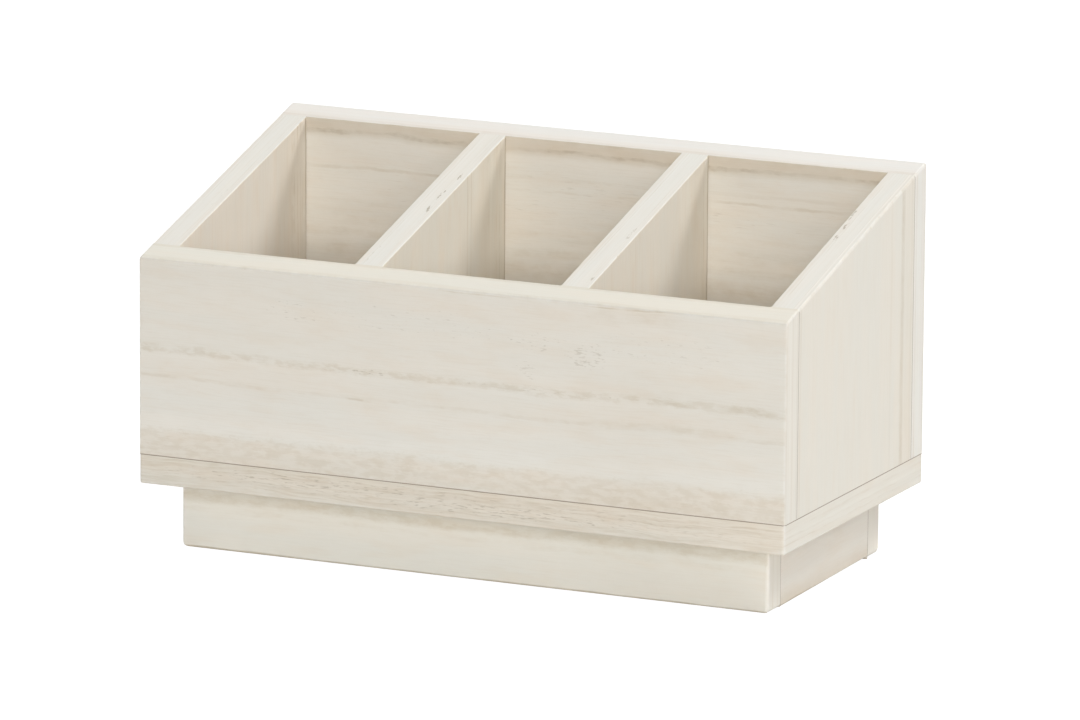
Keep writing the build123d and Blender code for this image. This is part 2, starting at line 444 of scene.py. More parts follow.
def markFaces(mesh, planes, seams, arrisShaded, arrisShade):
    # seam faces are in the eased edge of a joint, arris faces in a rounded edge; a few faces of the outer
    # right arris get a painted shade line in the seam layer
    seamLayer, arrisLayer = mesh.faces.layers.float.new("seam"), mesh.faces.layers.float.new("arris")
    limit = boardPlan["seamReach"]
    leastLean, mostLean = boardPlan["arrisShadeLean"]
    for face in mesh.faces:
        middle = face.calc_center_median()
        away = {side: abs((middle - point).dot(direction)) for side, (point, direction) in planes.items()}
        face[seamLayer] = float(any(all(away[side] < limit for side in pair) for pair in seams))
        turned = max(face.normal.dot(direction) for point, direction in planes.values()) < boardPlan["flat"]
        face[arrisLayer] = float(turned and not face[seamLayer])
        lean = face.normal.dot(planes["top"][1])
        if arrisShaded and turned and leastLean < lean < mostLean and face.normal.x > 0.2:
            face[seamLayer] = arrisShade


def makeBoard(name, low, high, rounds, finish, raked=False, underAt=None, tools=(), wornAlong=None):
    # rounds gives the arris radius between two sides; other edges get the small ease of a joint
    topAt = rimLevel if raked else (lambda y: high.z)
    mesh = boardPrism(low, high, topAt, underAt or (lambda y: low.z))
    sideLayer = mesh.faces.layers.int["side"]
    planes = {}
    for face in mesh.faces:
        planes[sideNames[face[sideLayer]]] = (face.calc_center_median(), face.normal.copy())
    weight = mesh.edges.layers.float.new("bevel_weight_edge")
    widest = 2 * max(rounds.values())  # the bevel's width, of which each edge takes a share
    seams = []
    for edge in mesh.edges:
        pair = {sideNames[face[sideLayer]] for face in edge.link_faces}
        radius = next((value for key, value in rounds.items() if set(key.split()) == pair), None)
        if radius is None:
            radius = boardPlan["ease"]
            seams.append(pair)
        edge[weight] = radius * math.tan(edge.calc_face_angle() / 2) / widest
    data = bpy.data.meshes.new(name)
    mesh.to_mesh(data)
    mesh.free()
    item = addObject(name + "_board", data)
    bevel = item.modifiers.new("arrises", "BEVEL")
    bevel.limit_method = "WEIGHT"
    bevel.width = widest
    bevel.segments = boardPlan["segments"]
    bevel.use_clamp_overlap = False
    applyModifiers(item)
    if tools:
        takeOut(item, tools)
    mesh = bmesh.new()
    mesh.from_mesh(item.data)
    keepWithin(mesh, planes)
    mesh.normal_update()
    markFaces(mesh, planes, seams, rounds.get("top right") == outer, finish.get("arrisShade", 0))
    if wornAlong is not None:
        step, start, end = boardPlan["ringStep"], low[wornAlong], high[wornAlong]
        count = int((end - start) / step)
        cutRings(mesh, wornAlong, [start + (end - start) * (i + 0.5) / count for i in range(count)])
        sides = (("front", "back"), ("left", "right"))[wornAlong]
        worn = [(*key.split(), value) for key, value in rounds.items() if "top" in key and value]
        wearArris(mesh, planes, [pair for pair in worn if pair[1] in sides])
    for edge in mesh.edges:
        turn = edge.calc_face_angle(0)
        edge.smooth = len(edge.link_faces) == 2 and turn < math.radians(boardPlan["crease"])
    for face in mesh.faces:
        face.smooth = True
    mesh.to_mesh(item.data)
    mesh.free()
    item.modifiers.new("shading", "WEIGHTED_NORMAL").keep_sharp = True
    applyModifiers(item)
    item.data.materials.append(washedBoard(name + "_wash", finish))
    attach(item, "root")
    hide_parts(name)


outer, inner, corner = rimPlan["outerRound"], rimPlan["innerRound"], rimPlan["cornerRound"]
dividerBoxes = [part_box(name) for name in ("left_divider", "right_divider")]
bayEdges = [innerLeft, *(place.x for box in dividerBoxes for place in box), innerRight]
bays = list(zip(bayEdges[0::2], bayEdges[1::2]))
cornerNames = [(end, side) for end in ("front", "back") for side in ("left", "right")]

# What the two panels share: the figure of the rim's top face and of the end grain
rimFace = {
    "sides": "top", "axes": "xy",
    "blush": 0.2, "fineLength": 60, "fineDepth": 0.1, "mottleDepth": 0.2,
}
endFace = {
    "sides": "left right", "axes": "zy",
    "blush": 0.2, "fineLength": 50, "fineDepth": 0.1, "mottleDepth": 0.1, "sway": 0.6,
}

# The front panel: a dark broken streak all across, a fainter one below it, a mottled band at the foot,
# paler bands between them, and small dark pores near the rim. A thin painted shadow lies under the rim's
# front arris, and the face is painted darker towards the top and the right end and lighter towards the
# foot, as painted shade and light.
frontPanelPlan = {
    "seed": 1.0,
    "layers": [
        {"sides": "front", "axes": "xz", "tone": (223.5, 218.5, 208.5), "dash": (3.2, 0.9), "streaks": [
            mark(90.6, 2.2, 0.58, ragged=0.6, feather=2.5, broken=0.35, blobs=0.8),
            mark(91.2, 4.2, 0.1, ragged=1.5, broken=0.6),
            mark(90.3, 1.4, 0.85, ragged=0.6, broken=0.4, blobs=0.7, span=(-60, -30)),
            mark(90.3, 1.6, 0.7, ragged=0.7, broken=0.4, blobs=0.6, span=(-10, 30)),
            mark(90.4, 1.6, 0.75, ragged=0.7, broken=0.3, blobs=0.5, span=(94, 113)),
            mark(90.6, 1.7, 0.75, ragged=0.7, broken=0.3, blobs=0.5, span=(117, 151)),
            mark(78.4, 1.0, 0.3, ragged=0.5, broken=0.8, blobs=0.5),
            mark(78.4, 0.7, 0.45, ragged=0.3, broken=0.3, span=(-153, -136)),
            mark(78.0, 0.55, 0.6, ragged=0.3, broken=0.4, span=(-53, -44)),
            mark(77.9, 0.8, 0.5, ragged=0.4, broken=0.5, blobs=0.5, span=(134, 152)),
            mark(79.0, 2.0, 0.34, ragged=0.9, broken=0.5, blobs=0.5, span=(60, 130)),
            mark(46.0, 8.4, 0.42, ragged=0.5, soft=0.85, feather=9, broken=0.3, blobs=0.7),
            mark(44.0, 2.2, 0.36, ragged=0.8, broken=0.7, blobs=0.9),
            mark(46.0, 8.0, 0.8, "blush", ragged=0.6, soft=0.7, broken=0.3),
            # painted shadow under the rim's front arris
            mark(129.0, 0.4, 0.7, ragged=0.2, broken=0.8, span=(58, 102)),
            mark(129.3, 0.35, 0.6, ragged=0.2, broken=0.8, span=(-14, 24)),
            mark(125.5, 3.0, 0.2, ragged=1.0, broken=0.6, blobs=0.5, span=(60, 105)),
            mark(124, 6, 0.35, "blush", ragged=1.5, broken=0.6),
            mark(98, 6, 0.4, "blush", ragged=1.5, broken=0.5),
            mark(82, 5, 0.5, "blush", ragged=1.2, broken=0.5),
            mark(111, 6, 0.3, "hazeAndLight", ragged=1.5, broken=0.6),
            mark(87.6, 1.1, 0.5, "hazeAndLight", ragged=0.7, broken=0.8),
            mark(66, 9, 0.7, "hazeAndLight", ragged=1.2, broken=0.3),
            # painted light, lighter towards the foot
            mark(52, 12, 1.0, "hazeAndLight", ragged=1.0, soft=0.5, broken=0.2),
            mark(56, 7, 0.35, "paintedLight", ragged=1.0, soft=0.5, broken=0.2),
            # painted shade, darker towards the top and the right end
            mark(122, 22, 0.1, "shade", ragged=1.5, soft=0.5, broken=0.1),
            mark(90, 60, 0.09, "shade", soft=0.9, broken=0.1, span=(40, 260))],
         "pores": [
            speckle((60, 107), (9, 6), 0.42, 0.52),
            speckle((33, 98), (6, 5), 0.35, 0.55),
            speckle((38, 111), (16, 5), 0.4, 0.59),
            speckle((-78, 113), (14, 7), 0.45, 0.6),
            speckle((-20, 114), (60, 8), 0.4, 0.63),
            speckle((95, 113), (40, 9), 0.35, 0.62),
            speckle((-43, 90), (12, 1.3), 0.7, 0.54),
            speckle((30, 90), (50, 1.0), 0.5, 0.58)]},
        {"sides": "back under", "axes": "xz", "tone": (222, 211, 194), "streaks": [
            mark(112, 2.5, 0.4, blobs=0.4),
            mark(74, 3.5, 0.3, blobs=0.4)]},
        {**rimFace, "tone": (238, 233, 220.5), "streaks": [
            mark(-63.6, 1.3, 0.3, ragged=0.2, soft=0.5, broken=0.3),
            mark(-74.8, 1.4, 0.22, ragged=0.2, soft=0.5, broken=0.3)]},
        {**endFace, "tone": (228, 223, 213), "streaks": [
            mark(-75.4, 1.2, 0.28, ragged=0.1, broken=0.2),
            mark(-72.6, 0.3, 0.2, ragged=0.1, broken=0.3),
            mark(-72.0, 1.2, 1.0, "hazeAndLight", ragged=0.1, broken=0.2),
            mark(-69.2, 0.8, 0.22, ragged=0.1, broken=0.3),
            mark(-64.3, 0.8, 0.26, ragged=0.1, broken=0.3)]},
    ],
}
backPanelPlan = {
    "seed": 7.0,
    "layers": [
        {"sides": "front", "axes": "xz", "tone": (227.5, 221.5, 210), "mottleDepth": 0.5,
         "dash": (8, 0.9), "streaks": [
            mark(165.6, 4.4, 0.54, ragged=0.4, soft=0.6, broken=0.2),
            mark(171.2, 1.6, 0.7, ragged=0.3, soft=0.5, broken=0.2),
            mark(163.6, 1.0, 0.5, "shade", ragged=0.9, broken=0.6, blobs=0.6),
            mark(167.0, 4.0, 1.0, "blush", ragged=0.3, broken=0.1),
            mark(147.8, 0.8, 0.5, ragged=0.5, broken=0.6, span=(-140, -60)),
            mark(151.5, 1.0, 0.3, ragged=0.6, broken=0.8, blobs=0.5, span=(-46, 40)),
            mark(146.0, 0.6, 0.3, ragged=0.6, broken=0.8, blobs=0.5, span=(-46, 40)),
            mark(148.6, 0.8, 0.5, ragged=0.5, broken=0.7, span=(50, 140)),
            mark(152.6, 0.9, 0.25, ragged=0.5, broken=0.6, span=(50, 140)),
            mark(141.0, 9.5, 0.55, "hazeAndLight", ragged=1.0, broken=0.3),
            mark(158.0, 2.5, 0.4, "hazeAndLight", ragged=0.8, broken=0.5),
            mark(132.5, 1.2, 0.15, ragged=0.8, broken=0.7, blobs=0.5),
            mark(125.0, 4.5, 0.25, ragged=0.9, blobs=0.4),
            mark(118.0, 2.5, 0.4, ragged=0.8, blobs=0.4),
            mark(110.0, 4.5, 0.45, ragged=0.9, blobs=0.3),
            mark(72.0, 3.0, 0.3, ragged=0.9, blobs=0.3)],
         "pores": [
            speckle((0, 142), (160, 12), 0.25, 0.62)]},
        {"sides": "back under", "axes": "xz", "tone": (227, 221, 210), "streaks": [
            mark(141, 2.0, 0.45, blobs=0.6), mark(118, 1.0, 0.3),
            mark(92, 4.5, 0.2, ragged=1.5, blobs=0.5),
            mark(60, 1.6, 0.4, blobs=0.6),
            mark(104, 7, 0.5, "hazeAndLight", broken=0.4)]},
        {**rimFace, "tone": (243, 239, 232), "streaks": [
            mark(63.6, 1.5, 0.34, ragged=0.2, soft=0.5, broken=0.3),
            mark(65.6, 2.4, 0.7, "blush", ragged=0.2, broken=0.3),
            mark(74.2, 1.4, 0.7, "mist", ragged=0.2, broken=0.5)]},
        {**endFace, "tone": (229.5, 225.5, 217.5), "blush": 0.3, "streaks": [
            mark(75.8, 2.0, 0.2, "shade", ragged=0.1, broken=0.2),
            mark(65.5, 0.8, 0.35, ragged=0.2, broken=0.5),
            mark(71.5, 0.4, 0.2, ragged=0.1, broken=0.4)]},
    ],
}


def uprightPlan(seed, middle, outside, inside, rimPores, rimLines=()):
    # a side board or divider, with its grain upright on its faces and lengthwise on the rim
    shared = [
        mark(47, 14, 0.26, ragged=1, soft=0.6, broken=0.1),
        mark(-10, 24, 1.0, "hazeAndLight", ragged=1, soft=0.6, broken=0.3),
        mark(62.4, 0.65, 0.85, "shade", ragged=0.02, soft=0.5, broken=0.3),
        mark(58.6, 0.5, 0.35, ragged=0.1, broken=0.5)]
    inside = {**inside, "streaks": shared + inside["streaks"]}
    return {
        "seed": seed,
        # a painted shade line along the outer right arris, between its highlights
        "arrisShade": 0.85,
        "nibbles": 0.6,
        "layers": [
            {"axes": "zy", "fineLength": 30, "fineWidth": 1.0, "fineDepth": 0.12, "mottleDepth": 0.15,
             **outside},
            {"axes": "zy", "fineLength": 36, "fineWidth": 1.0, "mottleDepth": 0.2, **inside},
            {"sides": "front back", "axes": "zx", "tone": (226, 219, 206)},
            {"sides": "top", "axes": "yx", "tone": (238, 234, 225), "blush": 0.25, "fineLength": 70,
             "fineWidth": 0.8, "fineDepth": 0.16, "mottleDepth": 0.2, "sway": 1.5, "pores": rimPores,
             "dash": (3.6, 1.0), "streaks": [
                mark(middle - 4.9, 1.0, 0.8, "blush", ragged=0.4, broken=0.7),
                mark(middle + 4.7, 0.9, 0.6, "blush", ragged=0.4, broken=0.8),
                mark(middle + 6.0, 1.0, 1.0, "hazeAndLight", ragged=0.4, broken=0.9),
                mark(middle + 0.6, 2.6, 0.5, "hazeAndLight", ragged=0.6, broken=0.5),
                mark(middle - 3.0, 1.3, 0.9, "hazeAndLight", ragged=0.4, broken=0.5),
                mark(middle + 3.8, 1.2, 0.8, "hazeAndLight", ragged=0.4, broken=0.5),
                mark(middle - 3.2, 0.4, 0.28, ragged=0.2, broken=0.9),
                mark(middle + 3.6, 0.35, 0.25, ragged=0.2, broken=0.9), *rimLines]},
        ],
    }


# The faces that look right into a bay are toned lighter than the other faces of the same boards, as painted
# light inside the bays.
uprightPlans = {
    "left_side": uprightPlan(
        13.0, -146,
        {"sides": "left under", "tone": (228, 222, 211), "streaks": [
            mark(-40, 1.6, 0.3), mark(20, 3.0, 0.15)]},
        {"sides": "right", "tone": (234, 226, 213), "streaks": [
            mark(49, 2.6, 0.55, ragged=0.4), mark(54, 0.5, 0.8, ragged=0.1),
            mark(51, 0.4, 0.85, ragged=0.1), mark(56.8, 0.4, 0.6, ragged=0.1),
            mark(60, 2.4, 0.3, ragged=0.2), mark(33, 3.0, 0.15)]},
        [speckle((-10, -143.0), (24, 1.0), 0.35, 0.6)]),
    "left_divider": uprightPlan(
        19.0, -48.67,
        {"sides": "left under", "tone": (228, 217, 200), "streaks": [mark(-10, 2.5, 0.3)]},
        {"sides": "right", "tone": (233, 226, 212), "streaks": [
            mark(57, 0.5, 0.65, ragged=0.1), mark(45, 3.4, 0.35, ragged=0.6),
            mark(51, 0.5, 0.3, ragged=0.2), mark(39, 0.5, 0.3, ragged=0.2),
            mark(21, 0.6, 1.0, "hazeAndLight", ragged=0.2, span=(90, 160)),
            mark(25, 0.5, 1.0, "hazeAndLight", ragged=0.2, span=(90, 160)),
            mark(23, 0.5, 0.5, ragged=0.1), mark(26.8, 0.4, 0.45, ragged=0.1),
            mark(53.5, 0.4, 0.6, ragged=0.1),
            # painted light where the bay's shadow falls on this face
            mark(35, 6, 0.55, "paintedLight", ragged=0.5, broken=0.2),
            mark(48, 1.5, 0.5, "paintedLight", ragged=0.3, broken=0.2)]},
        [speckle((-9, -45.7), (4, 1.0), 1.0, 0.44),
         speckle((4.5, -45.9), (4, 1.0), 1.0, 0.44),
         speckle((22.5, -45.3), (3, 1.0), 1.0, 0.47),
         speckle((-52, -51.5), (9, 0.6), 0.5, 0.5)]),
    "right_divider": uprightPlan(
        23.0, 48.67,
        {"sides": "left under", "tone": (228, 217, 200), "streaks": [mark(14, 2.0, 0.3)]},
        {"sides": "right", "tone": (234, 227, 214), "streaks": [
            mark(58, 0.5, 0.6, ragged=0.1), mark(41, 2.6, 0.3, ragged=0.6),
            mark(49, 0.7, 0.25, ragged=0.2), mark(-14, 0.6, 0.3, ragged=0.2),
            # painted light where the bay's shadow falls on this face
            mark(39, 8, 0.85, "paintedLight", ragged=0.5, broken=0.2)]},
        [speckle((-14, 52.3), (7, 1.2), 0.65, 0.51),
         speckle((-54, 53.0), (3, 0.6), 0.7, 0.46)]),
    "right_side": uprightPlan(
        29.0, 146,
        {"sides": "right", "tone": (226, 220.5, 209.5), "blush": 0.3, "fineDepth": 0.08,
         "mottleDepth": 0.05, "sway": 1.2, "streaks": [
            mark(50.6, 2.2, 0.6, ragged=0.15, broken=0.3, blobs=0.3),
            mark(57, 5.0, 0.6, "blush", ragged=0.2, broken=0.2),
            mark(60.5, 1.2, 0.2, ragged=0.2, broken=0.3),
            mark(38.0, 1.2, 0.12, ragged=0.2, broken=0.3),
            mark(5.0, 26, 0.25, "mist", ragged=0.5, broken=0.2),
            mark(-61.0, 1.0, 0.25, ragged=0.1, broken=0.3)]},
        {"sides": "left under", "tone": (228, 217, 200), "streaks": [mark(-20, 2.0, 0.3)]},
        [speckle((2, 141.6), (4, 1.0), 0.9, 0.46),
         speckle((12, 141.7), (4, 1.0), 0.9, 0.46),
         speckle((23, 140.4), (5, 0.6), 0.8, 0.48)],
        # a painted highlight line beside the outer arris
        [mark(150.2, 0.5, 0.9, "paintedLight", ragged=0.03, broken=0.6)]),
}
basePlan = {
    "seed": 37.0,
    "layers": [
        {"sides": "front back", "axes": "xz", "tone": (221.5, 213.5, 200), "fineLength": 15,
         "fineWidth": 0.8, "fineDepth": 0.5, "mottleDepth": 0.6, "blush": 1.0, "sway": 9, "streaks": [
            mark(41.0, 0.5, 0.35, ragged=0.3, broken=0.9),
            mark(39.2, 0.9, 0.3, ragged=0.5, broken=0.7),
            mark(33.4, 0.6, 0.25, ragged=0.4, broken=0.8),
            mark(36.0, 1.0, 1.0, "hazeAndLight", ragged=0.7, broken=0.8),
            mark(31.4, 1.9, 1.0, "hazeAndLight", ragged=0.7, broken=0.3),
            mark(32.0, 3.4, 1.0, "mist", ragged=0.5, broken=0.2),
            mark(37.0, 8.0, 1.0, "hazeAndLight", broken=0.2, span=(-200, -112))],
         "dash": (5.0, 0.7), "pores": [
            speckle((0, 37), (170, 5), 0.3, 0.55),
            speckle((-70, 39), (60, 3), 0.4, 0.55),
            speckle((20, 35), (60, 3), 0.4, 0.55)]},
        {"sides": "left right", "axes": "yz", "tone": (225.5, 220.5, 210), "fineLength": 40,
         "fineWidth": 1.4, "fineDepth": 0.1, "mottleDepth": 0.1, "streaks": [
            mark(34.0, 0.35, 0.3, ragged=0.3, broken=0.8),
            mark(36.5, 0.3, 0.25, ragged=0.4, broken=0.8),
            mark(39.8, 0.6, 0.2, ragged=0.3, broken=0.8),
            mark(37.8, 0.8, 0.9, "hazeAndLight", ragged=0.2, broken=0.5),
            mark(32.5, 0.8, 0.3, "hazeAndLight", ragged=0.2, broken=0.5)]},
        {"sides": "top under", "axes": "xy", "tone": (224, 213, 196), "streaks": [
            mark(-30, 3, 0.3, blobs=0.4), mark(22, 2, 0.35, blobs=0.4),
            mark(50, 4, 0.2)]},
    ],
}


# The long rails have a dark streak under the base board, partly grain and partly painted shadow of its
# overhang, and all four have a painted contact shadow where they meet the table. The short rails are
# painted lighter under the base board and darker towards the foot, and the long ones darken towards their
# right end.
railMarks = {
    "long": [
        # partly grain, partly painted shadow of the base board's overhang
        mark(23.4, 2.9, 0.68, ragged=0.5, broken=0.2, blobs=0.4, feather=2),
        mark(17.6, 1.5, 0.2, ragged=0.8, broken=0.8, blobs=0.6),
        mark(15, 40, 0.1, "shade", broken=0.1, span=(50, 230)),
        # painted contact shadow where the rail meets the table
        mark(0.1, 0.8, 1.0, "shade", ragged=0.02, broken=0.1)],
    "short": [
        # painted shade, darker towards the foot
        mark(-1.0, 9.0, 0.42, "shade", ragged=0.5, broken=0.1),
        # painted contact shadow where the rail meets the table
        mark(0.9, 0.7, 1.0, "shade", ragged=0.02, broken=0.1),
        # painted light under the base board
        mark(21.0, 5.0, 1.0, "hazeAndLight", ragged=0.8, broken=0.1)],
    "frontEnd": [
        mark(-56.2, 0.4, 0.5, ragged=0.1), mark(-51.0, 0.35, 0.45, ragged=0.1),
        mark(-53.6, 0.9, 1.0, "hazeAndLight", ragged=0.1),
        mark(-58.6, 1.0, 0.6, "hazeAndLight", ragged=0.1)],
    "backEnd": [
        mark(55.0, 0.4, 0.3, ragged=0.1),
        mark(52.0, 2.0, 1.0, "hazeAndLight", ragged=0.1)],
}


def railPlan(seed, axes, tone, marks, ends=()):
    return {
        "seed": seed,
        "layers": [
            {"sides": "front back left right under top", "axes": axes, "tone": tone, "fineDepth": 0.1,
             "mottleDepth": 0.2, "streaks": marks},
            {"sides": "left right" if axes[0] == "x" else "front back", "axes": "zy",
             "tone": (230, 225, 215), "fineLength": 40, "fineDepth": 0.12, "blush": 0.3,
             "mottleDepth": 0.1, "sway": 0.6, "streaks": ends},
        ],
    }


railPlans = {
    "front": railPlan(41.0, "xz", (227, 223, 212.5), railMarks["long"], railMarks["frontEnd"]),
    "back": railPlan(42.0, "xz", (227, 223, 212.5), railMarks["long"], railMarks["backEnd"]),
    # the short rails are toned lighter, as painted light over the shade of the overhang
    "left": railPlan(47.0, "yz", (232.5, 226.5, 216.5), railMarks["short"]),
    "right": railPlan(48.0, "yz", (232.5, 226.5, 216.5), railMarks["short"]),
}
footPlan = {
    "baseUnder": 0.9 * mm,  # arrises of the base board, lower and upright
    "baseUpright": 1.3 * mm,
    "railArris": 0.8 * mm,
    "railRight": 1.6 * mm,  # the right upright arris of the long rails
    "footRounds": {"front": (3 * mm, 1.8 * mm), "back": (3 * mm, 3 * mm)},  # left and right end
    "lowerArris": {"front": 0.8 * mm, "back": 2.4 * mm},
    "relief": (0.2 * mm, 1.3 * mm),  # the side rails stop this far above the table, front and back
}

# Countersunk screws, driven up through the base board. Places are along x and y.
screwPlan = {
    "places": {
        "front_panel_screws": [(-97.33, -69.5), (0, -69.5), (97.33, -69.5)],
        "back_panel_screws": [(-97.33, 69.5), (0, 69.5), (97.33, 69.5)],
        "side_board_screws": [(-146, 0), (146, 0)],
    },
    "level": 30 * mm,
    "length": 30 * mm,
    "headRadius": 3.5 * mm,
    "shankRadius": 1.2 * mm,
    "crestRadius": 1.75 * mm,
    "headDepth": 2.3 * mm,
    "pitch": 1.8 * mm,
    "around": 24,
    "perTurn": 12,
    "recessLength": 4.6 * mm,
    "recessWidth": 0.95 * mm,
    "recessDepth": 1.9 * mm,
    "recessTaper": (0.45, 0.8),  # the cross at its foot, as shares of its length and width
    "headRim": 0.15 * mm,
    "tipLength": 3 * mm,
    "tipRadius": 0.15 * mm,
    "ridge": 0.2,  # half the thread's foot, as a share of the pitch
    "holeGap": 0.12 * mm,
    "holeDepth": 12 * mm,
    "seed": 5,
}


def ring(radius, z, around, middle=(0, 0)):
    x, y = middle
    turns = [math.tau * i / around for i in range(around)]
    return [Vector((x + radius * math.cos(turn), y + radius * math.sin(turn), z)) for turn in turns]


def screwHoles(plan):
    # countersunk holes, each from just under the board to a little below its top
    holes = []
    gap, level = plan["holeGap"], plan["level"]
    wide, narrow = plan["headRadius"] + gap, plan["crestRadius"] + gap
    rows = ((wide + gap, level - gap), (narrow, level + wide - narrow), (narrow, level + plan["holeDepth"]))
    for places in plan["places"].values():
        for x, y in places:
            holes.append([ring(radius, z, plan["around"], (x * mm, y * mm)) for radius, z in rows])
    return holes


def makeWalls():
    panels = (("front_panel", "front", "back", baseLow.y, innerFront, frontPanelPlan),
              ("back_panel", "back", "front", innerBack, baseHigh.y, backPanelPlan))
    for name, face, inside, start, end, plan in panels:
        low, high = Vector((baseLow.x, start, baseHigh.z)), Vector((baseHigh.x, end, 0))
        rounds = {"top " + face: outer, "top left": outer, "top right": outer, "top " + inside: 0,
                  face + " left": corner, face + " right": corner}
        tools = bayTools(bays, end, 1) if face == "front" else bayTools(bays, start, -1)
        makeBoard(name, low, high, rounds, plan, True, None, tools, 0)
    for name, plan in uprightPlans.items():
        low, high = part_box(name)
        low.y, high.y = innerFront, innerBack
        rounds = {"top left": inner, "top right": inner, "top front": 0, "top back": 0}
        if name == "left_side":
            rounds["top left"] = outer
        if name == "right_side":
            rounds["top right"] = outer
        makeBoard(name, low, high, rounds, plan, True, None, (), 1)


def makeFoot(plan):
    low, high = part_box("base_board")
    rounds = {"under " + side: plan["baseUnder"] for side in ("front", "back", "left", "right")}
    rounds.update({f"{end} {side}": plan["baseUpright"] for end, side in cornerNames})
    makeBoard("base_board", low, high, rounds, basePlan, tools=screwHoles(screwPlan))
    for face in ("front", "back"):
        low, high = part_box(f"plinth_{face}_rail")
        left, right = plan["footRounds"][face]
        rounds = {"under left": left, "under right": right, "under " + face: plan["lowerArris"][face],
                  face + " left": plan["railArris"], face + " right": plan["railRight"]}
        makeBoard(f"plinth_{face}_rail", low, high, rounds, railPlans[face])
    atFront, atBack = plan["relief"]
    for face in ("left", "right"):
        low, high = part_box(f"plinth_{face}_rail")
        low.z = 0
        slope = (atBack - atFront) / (high.y - low.y)

        def foot(y):
            return atFront + slope * (y - low.y)

        rounds = {"under " + face: plan["railArris"]}
        makeBoard(f"plinth_{face}_rail", low, high, rounds, railPlans[face], underAt=foot)


makeWalls()
makeFoot(footPlan)
print("boards made")


def edgeMask(tree, radius, gone, depth):
    # full where the mesh turns within the radius, none on its faces
    edge = node(tree, "ShaderNodeBevel", {"Radius": radius}, samples=4).outputs[0]
    plain = node(tree, "ShaderNodeNewGeometry").outputs["Normal"]
    same = node(tree, "ShaderNodeVectorMath", {0: edge, 1: plain}, operation="DOT_PRODUCT").outputs["Value"]
    return ramp(tree, same, 0.99, gone, 0, depth)


def screwSteel():
    material, tree = newMaterial("screw_steel")
    where = node(tree, "ShaderNodeTexCoord").outputs["Object"]
    cloud = node(tree, "ShaderNodeTexNoise", {"Vector": where, "Scale": 900.0, "Detail": 3.0}).outputs[0]
    scratch = node(tree, "ShaderNodeTexNoise", {"Vector": where, "Scale": 5200.0, "Detail": 2.0}).outputs[0]
    colour = mixColour(tree, ramp(tree, cloud, 0.35, 0.65), paint(168, 158, 128), paint(186, 180, 160))
    colour = mixColour(tree, edgeMask(tree, 0.15 * mm, 0.9, 0.6), colour, paint(214, 212, 204))
    rough = ramp(tree, cloud, 0.3, 0.7, 0.28, 0.45)
    surface(tree, colour, rough, scratch, 0.01 * mm, 0.4, {"Metallic": 1.0})
    return material


def screwMesh(plan):
    # one screw with its head at the origin, pointing up, so that all of them are copies of it
    mesh = bmesh.new()
    around, turn = plan["around"], plan["pitch"] / plan["perTurn"]
    neck = plan["headDepth"]
    rings = [ring(plan["headRadius"], 0, around), ring(plan["headRadius"], plan["headRim"], around),
             ring(plan["shankRadius"], neck, around)]
    count = int((plan["length"] - neck - plan["tipLength"]) / turn)
    for step in range(count + 1):
        z = neck + step * turn
        fade = min(1, step / plan["perTurn"])
        points = []
        for i, point in enumerate(ring(1, z, around)):
            phase = (z / plan["pitch"] - i / around) % 1
            ridge = max(0, 1 - abs(phase - 0.5) / plan["ridge"]) * fade
            radius = plan["shankRadius"] + (plan["crestRadius"] - plan["shankRadius"]) * ridge
            points.append(Vector((point.x * radius, point.y * radius, z)))
        rings.append(points)
    rings.append(ring(plan["tipRadius"], plan["length"], around))
    rows = [[mesh.verts.new(point) for point in points] for points in rings]
    for first, second in zip(rows, rows[1:]):
        for i in range(around):
            j = (i + 1) % around
            mesh.faces.new((first[i], first[j], second[j], second[i]))
    mesh.faces.new(reversed(rows[0]))
    mesh.faces.new(rows[-1])
    data = bpy.data.meshes.new("screw")
    mesh.to_mesh(data)
    mesh.free()
    screw = addObject("screw", data)
    length, width = plan["recessLength"] / 2, plan["recessWidth"] / 2
    lengthTaper, widthTaper = plan["recessTaper"]
    for x, y, taperX, taperY in ((width, length, widthTaper, lengthTaper),
                                 (length, width, lengthTaper, widthTaper)):
        top = [Vector((i * x, j * y, -0.1 * mm)) for i, j in ((-1, -1), (1, -1), (1, 1), (-1, 1))]
        low = [Vector((point.x * taperX, point.y * taperY, plan["recessDepth"])) for point in top]
        takeOut(screw, [[top, low]])
    for face in screw.data.polygons:
        face.use_smooth = False
    return screw


def screwTree(steel):
    # places copies of the screw on points, each turned by its own amount
    tree = bpy.data.node_groups.new("screw_set", "GeometryNodeTree")
    face = tree.interface
    face.new_socket("Places", in_out="INPUT", socket_type="NodeSocketGeometry")
    face.new_socket("Screw", in_out="INPUT", socket_type="NodeSocketObject")
    face.new_socket("Seed", in_out="INPUT", socket_type="NodeSocketInt")
    face.new_socket("Set", in_out="OUTPUT", socket_type="NodeSocketGeometry")
    given = node(tree, "NodeGroupInput").outputs
    form = node(tree, "GeometryNodeObjectInfo", {"Object": given["Screw"]}).outputs["Geometry"]
    turn = node(tree, "FunctionNodeRandomValue", {"Seed": given["Seed"], 3: math.tau}, data_type="FLOAT")
    spin = node(tree, "ShaderNodeCombineXYZ", {2: turn.outputs[1]}).outputs[0]
    placed = node(tree, "GeometryNodeInstanceOnPoints", {"Points": given["Places"], "Instance": form})
    turned = node(tree, "GeometryNodeRotateInstances", {"Instances": placed.outputs[0], "Rotation": spin})
    real = node(tree, "GeometryNodeRealizeInstances", {"Geometry": turned.outputs[0]}).outputs[0]
    painted = node(tree, "GeometryNodeSetMaterial", {"Geometry": real, "Material": steel}).outputs[0]
    node(tree, "NodeGroupOutput", {"Set": painted})
    return tree


